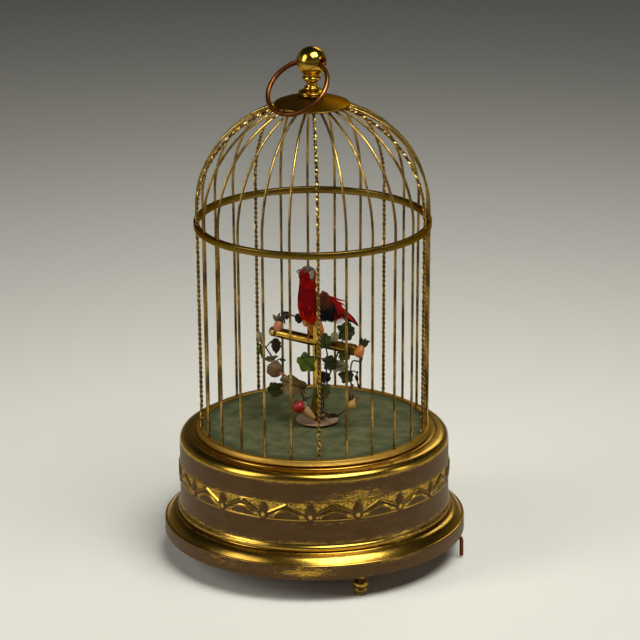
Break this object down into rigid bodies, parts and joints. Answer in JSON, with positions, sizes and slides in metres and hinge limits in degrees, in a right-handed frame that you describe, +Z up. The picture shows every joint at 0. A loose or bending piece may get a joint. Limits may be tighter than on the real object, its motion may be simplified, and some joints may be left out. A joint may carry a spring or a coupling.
{
  "type": "singing bird automaton",
  "caption": "Singing bird automaton: feathered bird on a perch with a wire vine in a domed brass cage, over a drum with clockwork, bellows and whistle, and a winding key and start lever below.",
  "frame": {"origin": "on the table, under the middle of the cage", "axes": "+Z up through the dome, -Y towards the front of the picture, +X towards the start lever's side"},
  "size_m": [0.16, 0.16, 0.2771],
  "materials": {
    "patinated_brass": "dark brown patina, polished by wear on the mouldings",
    "gilt_brass": "polished gilt brass, lightly worn",
    "cage_wire": "drawn brass wire, aged",
    "twisted_wire": "two strands of brass wire twisted together",
    "ring_wire": "copper-brown drawn wire",
    "green_felt": "grey-green napped felt",
    "painted_leaves": "hand painted leaves, buds and berries on wire",
    "red_feathers": "soft red feathers",
    "black_feathers": "black feathers",
    "grey_feathers": "short grey-green feathers",
    "dark_horn": "dark horn-like beak",
    "movement_brass": "machined movement brass",
    "steel": "plain steel",
    "bellows_board": "thin varnished board",
    "bellows_skin": "thin pale kid leather"
  },
  "bodies": {
    "stand": {"plinth": "patinated_brass", "base_plate": "patinated_brass", "foot_1": "patinated_brass", "foot_2": "patinated_brass", "foot_3": "patinated_brass", "drum": "patinated_brass", "crown_cap": "patinated_brass", "cage_floor": "gilt_brass", "finial": "gilt_brass", "perch_post": "gilt_brass", "perch_bar": "gilt_brass", "cage_bar_01": "cage_wire", "cage_bar_02": "cage_wire", "cage_bar_03": "cage_wire", "cage_bar_04": "cage_wire", "cage_bar_05": "cage_wire", "cage_bar_06": "cage_wire", "cage_bar_07": "cage_wire", "cage_bar_08": "cage_wire", "cage_bar_09": "cage_wire", "cage_bar_10": "cage_wire", "cage_bar_11": "cage_wire", "cage_bar_12": "cage_wire", "cage_bar_13": "cage_wire", "cage_bar_14": "cage_wire", "cage_bar_15": "cage_wire", "cage_bar_16": "cage_wire", "cage_bar_17": "cage_wire", "cage_bar_18": "cage_wire", "cage_bar_19": "cage_wire", "cage_bar_20": "cage_wire", "cage_bar_21": "cage_wire", "middle_band": "cage_wire", "twisted_bar_1": "twisted_wire", "twisted_bar_2": "twisted_wire", "twisted_bar_3": "twisted_wire", "twisted_bar_4": "twisted_wire", "twisted_bar_5": "twisted_wire", "felt_floor": "green_felt", "vine_foliage": "painted_leaves", "bird_body": "red_feathers", "bird_wing_left": "black_feathers", "bird_wing_right": "black_feathers", "movement_plate": "movement_brass", "whistle_pipe": "movement_brass", "bellows_base_board": "bellows_board", "bellows_leather": "bellows_skin"},
    "ring": {"hanging_ring": "ring_wire"},
    "rod": {"bird_push_rod": "steel"},
    "head": {"bird_head": "grey_feathers"},
    "beak": {"bird_lower_beak": "dark_horn"},
    "tail": {"bird_tail": "red_feathers"},
    "lever": {"start_lever": "ring_wire"},
    "key": {"winding_key": "patinated_brass"},
    "barrel": {"mainspring_barrel": "movement_brass"},
    "second": {"second_wheel": "movement_brass"},
    "cams": {"cam_wheel": "movement_brass"},
    "fly": {"fly_governor": "steel"},
    "lid": {"bellows_lid": "bellows_board"},
    "piston": {"whistle_piston": "steel"}
  },
  "joints": [
    {"name": "ring_swing", "type": "hinge", "parent": "stand", "child": "ring", "pos_m": [0, 0, 0.26935], "axis": [-0.8007, 0.599, 0], "range_deg": [0, 266]},
    {"name": "rod_slide", "type": "slide", "parent": "stand", "child": "rod", "axis": [0, 0, 1], "range_m": [0, 0.002]},
    {"name": "head_turn", "type": "hinge", "parent": "stand", "child": "head", "pos_m": [-0.00288, -0.00407, 0.1506], "axis": [0, 0, 1], "range_deg": [-6, 54]},
    {"name": "beak_open", "type": "hinge", "parent": "head", "child": "beak", "pos_m": [-0.00752, -0.00549, 0.15655], "axis": [0.2924, -0.9563, 0], "range_deg": [0, 18]},
    {"name": "tail_lift", "type": "hinge", "parent": "stand", "child": "tail", "pos_m": [0.01138, 0.00833, 0.1338], "axis": [0.6561, -0.7547, 0], "range_deg": [0, 10]},
    {"name": "lever_swing", "type": "hinge", "parent": "stand", "child": "lever", "pos_m": [0.04516, -0.00878, 0.0117], "axis": [0, 0, 1], "range_deg": [-9, 9]},
    {"name": "key_turn", "type": "hinge", "parent": "stand", "child": "key", "pos_m": [-0.02397, -0.02025, 0.01], "axis": [0, 0, 1], "continuous": true},
    {"name": "barrel_spin", "type": "hinge", "parent": "stand", "child": "barrel", "pos_m": [-0.02397, -0.02025, 0.02], "axis": [0, 0, 1], "continuous": true},
    {"name": "second_spin", "type": "hinge", "parent": "stand", "child": "second", "pos_m": [-0.00047, -0.0117, 0.02], "axis": [0, 0, 1], "continuous": true},
    {"name": "cam_spin", "type": "hinge", "parent": "stand", "child": "cams", "pos_m": [0.003, 0.008, 0.02], "axis": [0, 0, 1], "continuous": true},
    {"name": "fly_spin", "type": "hinge", "parent": "stand", "child": "fly", "pos_m": [0.00808, -0.02651, 0.02], "axis": [0, 0, 1], "continuous": true},
    {"name": "lid_hinge", "type": "hinge", "parent": "stand", "child": "lid", "pos_m": [0, 0.0345, 0.0533], "axis": [-1, 0, 0], "range_deg": [0, 8], "deforming": ["bellows_leather"]},
    {"name": "piston_slide", "type": "slide", "parent": "stand", "child": "piston", "axis": [1, 0, 0], "range_m": [0, 0.014]}
  ],
  "couplings": [
    {"joint": "beak_open", "follows": "rod_slide", "rad_per_m": 157},
    {"joint": "tail_lift", "follows": "rod_slide", "rad_per_m": 87.2},
    {"joint": "second_spin", "follows": "barrel_spin", "ratio": -4},
    {"joint": "cam_spin", "follows": "barrel_spin", "ratio": 1.3333},
    {"joint": "fly_spin", "follows": "barrel_spin", "ratio": 15}
  ]
}
